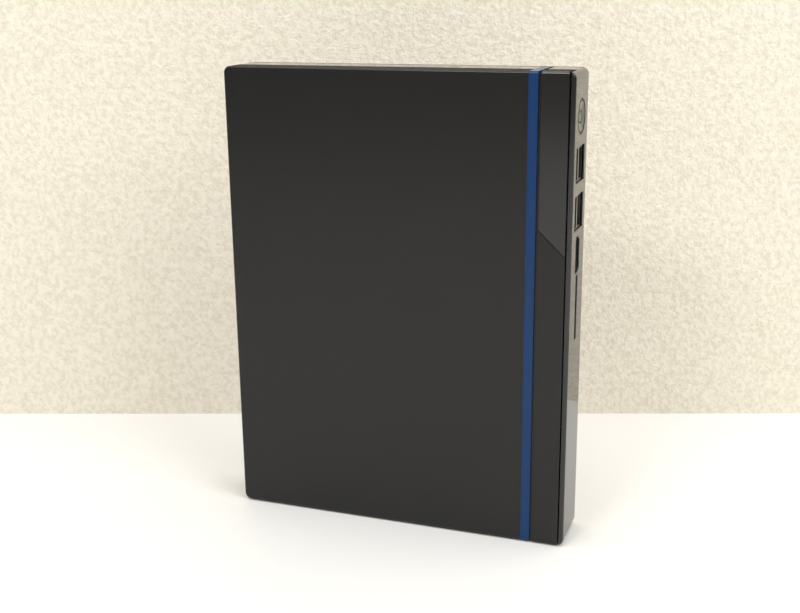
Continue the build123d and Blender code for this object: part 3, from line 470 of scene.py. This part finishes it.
def board_details():
    """Chip resistors and capacitors between the larger parts, kept clear of all of them."""
    low, high = low_high("main_board")
    face = low.y
    taken = [pair for name in CROWD for pair in islands(name)]
    rng = random.Random(7)
    bodies = {kind: bmesh.new() for kind in CHIP_TALL}
    ends = bmesh.new()
    placed = []
    for _ in range(CHIP_TRIES):
        x = rng.uniform(low.x + 5 * MM, high.x - 10 * MM)
        z = rng.uniform(high.z - CHIP_FIELD, high.z - 4 * MM)
        x = round(x / GRID_X) * GRID_X
        z = round(z / GRID_Z) * GRID_Z
        upright = rng.random() < 0.4
        half_x, half_z = (CHIP_SHORT, CHIP_LONG) if upright else (CHIP_LONG, CHIP_SHORT)
        near = any(
            first.x - CHIP_MARGIN < x + half_x and last.x + CHIP_MARGIN > x - half_x
            and first.z - CHIP_MARGIN < z + half_z and last.z + CHIP_MARGIN > z - half_z
            for first, last in taken
        )
        if near or any(abs(x - a) < 2.0 * MM and abs(z - b) < 1.4 * MM for a, b in placed):
            continue
        placed.append((x, z))
        kind = rng.choice(sorted(bodies))
        top = face - CHIP_TALL[kind]

        def slab(start, end):
            """Corners of the stretch of the chip between two places along its length."""
            if upright:
                return (x - CHIP_SHORT, top, z + start), (x + CHIP_SHORT, face, z + end)
            return (x + start, top, z - CHIP_SHORT), (x + end, face, z + CHIP_SHORT)

        core = CHIP_LONG - CHIP_CAP
        add_box(bodies[kind], *slab(-core, core))
        add_box(ends, *slab(-CHIP_LONG, -core))
        add_box(ends, *slab(core, CHIP_LONG))
        if len(placed) > CHIP_MOST:
            break
    tan = moulded("ceramic_tan", (0.30, 0.19, 0.10), 0.45, grain=5000.0, tone=0.2)
    piece("chip_capacitors", bodies["ceramic_tan"], "white_plastic", "case", tan)
    piece("chip_resistors", bodies["resistor_black"], "chip_black", "case")
    piece("chip_terminals", ends, "socket_steel", "case", MATERIALS["solder"])


CAN_BASE_HALF = 3.35 * MM
CAN_MARK_REACH = 2.55 * MM
CAN_MARK_STEPS = 12


def can_details():
    """Square black base under each capacitor can, and the dark sector that marks its minus side."""
    bases = bmesh.new()
    marks = bmesh.new()
    for low, high in islands("capacitor_cans"):
        middle = (low + high) / 2
        half = CAN_BASE_HALF
        add_box(bases, (middle.x - half, high.y - 0.9 * MM, middle.z - half),
                (middle.x + half, high.y - 0.02 * MM, middle.z + half), bevel=0.35 * MM)
        arc = [math.radians(130 + 100 * step / CAN_MARK_STEPS) for step in range(CAN_MARK_STEPS + 1)]
        rim = [(middle.x + CAN_MARK_REACH * math.cos(t), middle.z + CAN_MARK_REACH * math.sin(t))
               for t in arc]
        top = [marks.verts.new((x, low.y - 0.03 * MM, z)) for x, z in rim]
        under = [marks.verts.new((x, low.y + 0.05 * MM, z)) for x, z in rim]
        marks.faces.new(top)
        marks.faces.new(list(reversed(under)))
        for step in range(len(top)):
            other = (step + 1) % len(top)
            marks.faces.new((top[step], top[other], under[other], under[step]))
    piece("can_bases", bases, "black_plastic", "case")
    piece("can_marks", marks, "chip_black", "case")


COIL_TURNS = 4
COIL_INNER = 1.1 * MM
COIL_PITCH = 0.5 * MM
COIL_WIRE = 0.22 * MM


def coil_windings():
    """Copper turns showing on the face of each power coil."""
    mesh = bmesh.new()
    for low, high in islands("power_coils"):
        middle = (low + high) / 2
        centre = Vector((middle.x, low.y + 0.05 * MM, middle.z))
        for turn in range(COIL_TURNS):
            radius = COIL_INNER + COIL_PITCH * turn
            points = ring_points(centre, radius, Vector((1, 0, 0)), Vector((0, 0, 1)))
            add_tube(mesh, points, COIL_WIRE, closed=True)
    piece("coil_windings", mesh, "contact_gold", "case", MATERIALS["copper"])


board_details()
can_details()
coil_windings()


# ---------------------------------------------------------------- spindle and pickup
def disc_seat():
    """Rubber ring the disc sits on."""
    hub = next(item for item in frame["record"]["mounts"] if item["name"] == "spindle_hub")
    low, high = low_high("turntable")
    centre = Vector(hub["pos_m"])
    seat = centre.y + (hub["dims"]["length_mm"] + 0.4) * MM
    rim = (high.x - low.x) / 2
    mesh = bmesh.new()
    add_ring(mesh, centre, 0.72 * rim, 0.975 * rim, seat - 0.12 * MM, seat + 0.05 * MM)
    piece("disc_seat_ring", mesh, "rubber", "spindle")


def pickup_place():
    """Matrix from the pickup's own axes (u along the sled's travel, y, v across it) to the frame's."""
    low, high = low_high("lens_holder")
    along = Vector(joint("sled_slide")["axis"])
    across = Vector((along.z, 0.0, -along.x)) * -1.0
    place = Matrix((along, Vector((0, 1, 0)), across)).transposed().to_4x4()
    return Matrix.Translation((low + high) / 2) @ place


PICKUP = pickup_place()
HOLDER_HALF_U = 2.8 * MM
HOLDER_HALF_V = 4.4 * MM
POCKET_GAP = 1.0 * MM
WIRE_V = 5.05 * MM
COIL_GAP = 0.10 * MM
WIRE_RISE = 0.45 * MM
WIRE_RADIUS = 0.06 * MM
WIRE_STEPS = 12
MAGNET_HALF_V = 3.2 * MM
SPREADER_U = (-7.1 * MM, -5.2 * MM)
SPREADER_HALF_V = 11.6 * MM
SPREADER_SCREW_V = 9.5 * MM


def in_pickup(u, y, v):
    """A place given in the pickup's own axes, in the frame's."""
    return PICKUP @ Vector((u, y, v))


def lens_coils():
    """Focus and tracking coils on the holder's two long sides, and the tabs that hold the wires."""
    turned = PICKUP.to_3x3()
    along, up = turned @ Vector((1, 0, 0)), turned @ Vector((0, 1, 0))
    mesh = bmesh.new()
    for side in (-1, 1):
        for turn in range(3):
            centre = in_pickup(0.0, 0.0, side * (HOLDER_HALF_V + COIL_GAP))
            half_u = (1.9 - 0.28 * turn) * MM
            half_y = (0.72 - 0.2 * turn) * MM
            points = loop_points(centre, half_u, half_y, along, up, 0.15 * MM)
            add_tube(mesh, points, 0.12 * MM, closed=True, sides=8)
    piece("lens_coils", mesh, "contact_gold", "lens", MATERIALS["copper"])
    tabs = bmesh.new()
    for side in (-1, 1):
        v0, v1 = sorted((side * (HOLDER_HALF_V - 0.1 * MM), side * (WIRE_V + 0.15 * MM)))
        add_box(tabs, (1.95 * MM, -0.75 * MM, v0), (2.6 * MM, 0.75 * MM, v1), place=PICKUP,
                bevel=0.08 * MM)
    piece("wire_tabs", tabs, "black_plastic", "lens")


def suspension_wires():
    """Four thin wires that carry the holder; in the real pickup they are fixed to the sled at one end,
    here they ride on no body.
    """
    start = -(HOLDER_HALF_U + POCKET_GAP)
    end = 2.2 * MM
    mesh = bmesh.new()
    for side in (-1, 1):
        for height in (-WIRE_RISE, WIRE_RISE):
            line = [
                in_pickup(start + (end - start) * step / WIRE_STEPS, height, side * WIRE_V)
                for step in range(WIRE_STEPS + 1)
            ]
            add_tube(mesh, line, WIRE_RADIUS, sides=8)
    wires = piece("suspension_wires", mesh, "contact_gold", None)
    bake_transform(wires)


def sled_details():
    """Magnets at both ends of the lens pocket, and a screwed heat spreader on the sled."""
    magnets = bmesh.new()
    gap = HOLDER_HALF_U + POCKET_GAP
    for side in (-1, 1):
        u0, u1 = sorted((side * (gap - 0.62 * MM), side * (gap - 0.02 * MM)))
        add_box(magnets, (u0, 0.1 * MM, -MAGNET_HALF_V), (u1, 2.2 * MM, MAGNET_HALF_V), place=PICKUP,
                bevel=0.1 * MM)
    piece("pickup_magnets", magnets, "socket_steel", "sled", MATERIALS["nickel"])
    low, _ = low_high("pickup_sled")
    holder_low, holder_high = low_high("lens_holder")
    deck = low.y - (holder_low.y + holder_high.y) / 2
    spreader = bmesh.new()
    near_u, far_u = SPREADER_U
    add_box(spreader, (near_u, deck + 0.12 * MM, -SPREADER_HALF_V),
            (far_u, deck + 0.38 * MM, SPREADER_HALF_V), place=PICKUP, bevel=0.06 * MM)
    piece("sled_spreader", spreader, "contact_gold", "sled", MATERIALS["copper"])
    screws = bmesh.new()
    for v in (-SPREADER_SCREW_V, SPREADER_SCREW_V):
        centre = in_pickup((near_u + far_u) / 2, deck + 0.02 * MM, v)
        add_ring(screws, centre, 0.22 * MM, 0.62 * MM, centre.y, centre.y + 0.3 * MM, count=24)
    piece("spreader_screws", screws, "screw_steel", "sled")


disc_seat()
lens_coils()
suspension_wires()
sled_details()


# ---------------------------------------------------------------- room, light and camera
def stage_surface(name, pattern, dark, light, rough):
    """Dull surface of the room, dark to light along a noise.

    pattern holds the noise's scale, detail and roughness, then the values taken as dark and light.
    """
    tree = Tree(name)
    scale, detail, roughness, low, high = pattern
    height = tree.noise(scale, detail, roughness)
    tone = tree.span(height, low, high, 0.0, 1.0)
    tree.wire(tree.mix(tone, dark, light), tree.shader.inputs["Base Color"])
    tree.put("Roughness", rough)
    tree.put("Specular IOR Level", 0.3)
    return tree, height


def quad(name, corners, material):
    """One flat face of the room, kept apart from the part itself."""
    mesh = bpy.data.meshes.new(name)
    mesh.from_pydata(corners, [], [(0, 1, 2, 3)])
    mesh.materials.append(material)
    obj = bpy.data.objects.new(name, mesh)
    bpy.context.scene.collection.objects.link(obj)


def see_through_from_behind(tree):
    """Open the wall's far side, so that it doesn't hide the object's back from a viewer there."""
    facing = tree.nodes.new("ShaderNodeNewGeometry")
    clear = tree.nodes.new("ShaderNodeBsdfTransparent")
    choice = tree.nodes.new("ShaderNodeMixShader")
    output = tree.nodes["Material Output"]
    tree.wire(facing.outputs["Backfacing"], choice.inputs["Fac"])
    tree.wire(tree.shader.outputs["BSDF"], choice.inputs[1])
    tree.wire(clear.outputs["BSDF"], choice.inputs[2])
    tree.wire(choice.outputs["Shader"], output.inputs["Surface"])


WALL_TURN = math.radians(18.3)
WALL_POINT = Vector((-0.198, 0.059, 0.0))
WALL_SPAN = 3.0
WALL_HEIGHT = 2.2
TABLE_REACH = 2.4

along = Vector((math.cos(WALL_TURN), math.sin(WALL_TURN), 0.0))
inward = Vector((-math.sin(WALL_TURN), math.cos(WALL_TURN), 0.0))
wall_left = WALL_POINT - along * WALL_SPAN
wall_right = WALL_POINT + along * WALL_SPAN
rise = Vector((0, 0, WALL_HEIGHT))

TABLE_WHITE = (0.86, 0.86, 0.855)
TABLE_SHADE = tuple(c * 0.985 for c in TABLE_WHITE)
table, _ = stage_surface("white_table", (9.0, 3.0, 0.5, 0.0, 1.0), TABLE_SHADE, TABLE_WHITE, 0.5)
wall, weave = stage_surface("cream_wall", (380.0, 4.0, 0.7, 0.38, 0.58), (0.81, 0.75, 0.62),
                            (0.93, 0.875, 0.755), 0.85)
wall.bump(weave, 1.0, 1.2 * MM)
see_through_from_behind(wall)
quad("table_top", [wall_left - inward * TABLE_REACH, wall_right - inward * TABLE_REACH,
                   wall_right + inward * TABLE_REACH, wall_left + inward * TABLE_REACH], table.material)
quad("back_wall", [wall_left, wall_right, wall_right + rise, wall_left + rise], wall.material)

LAMP_COLOUR = (1.0, 0.99, 0.965)
WORLD_COLOUR = (1.0, 0.985, 0.955, 1.0)
WORLD_STRENGTH = 0.38


def area_light(name, place, target, size, power):
    """Soft lamp of the given width and height in metres, turned to a target; power in watts."""
    data = bpy.data.lights.new(name, "AREA")
    data.shape = "RECTANGLE"
    data.size, data.size_y = size
    data.energy = power
    data.color = LAMP_COLOUR
    obj = bpy.data.objects.new(name, data)
    obj.location = place
    obj.rotation_euler = (Vector(target) - Vector(place)).to_track_quat("-Z", "Y").to_euler()
    bpy.context.scene.collection.objects.link(obj)


area_light("key", (-0.25, -1.00, 0.92), (0.0, 0.0, 0.10), (0.36, 0.20), 4.4)
area_light("overhead", (0.15, -0.12, 1.30), (0.10, 0.10, 0.06), (1.9, 0.8), 12.6)
area_light("right_fill", (1.15, -0.55, 1.00), (0.30, 0.10, 0.05), (0.8, 0.8), 8.6)

world = bpy.data.worlds.new("soft_room")
world.use_nodes = True
background = world.node_tree.nodes["Background"]
background.inputs["Color"].default_value = WORLD_COLOUR
background.inputs["Strength"].default_value = WORLD_STRENGTH
bpy.context.scene.world = world
bpy.context.scene.view_settings.view_transform = "Standard"

CAMERA_PLACE = Vector((0.1605, -0.4433, 0.2274))
CAMERA_YAW = math.radians(20.1)
CAMERA_PITCH = math.radians(15.83)
CAMERA_ROLL = math.radians(-0.67)
CAMERA_FOCAL = 52.4

camera_data = bpy.data.cameras.new("camera")
camera_data.lens = CAMERA_FOCAL
camera_data.sensor_width = 36.0
camera_data.clip_start = 0.005
camera = bpy.data.objects.new("camera", camera_data)
turn = Matrix.Rotation(CAMERA_YAW, 4, "Z") @ Matrix.Rotation(math.pi / 2 - CAMERA_PITCH, 4, "X")
camera.matrix_world = Matrix.Translation(CAMERA_PLACE) @ turn @ Matrix.Rotation(CAMERA_ROLL, 4, "Z")
bpy.context.scene.collection.objects.link(camera)
bpy.context.scene.camera = camera
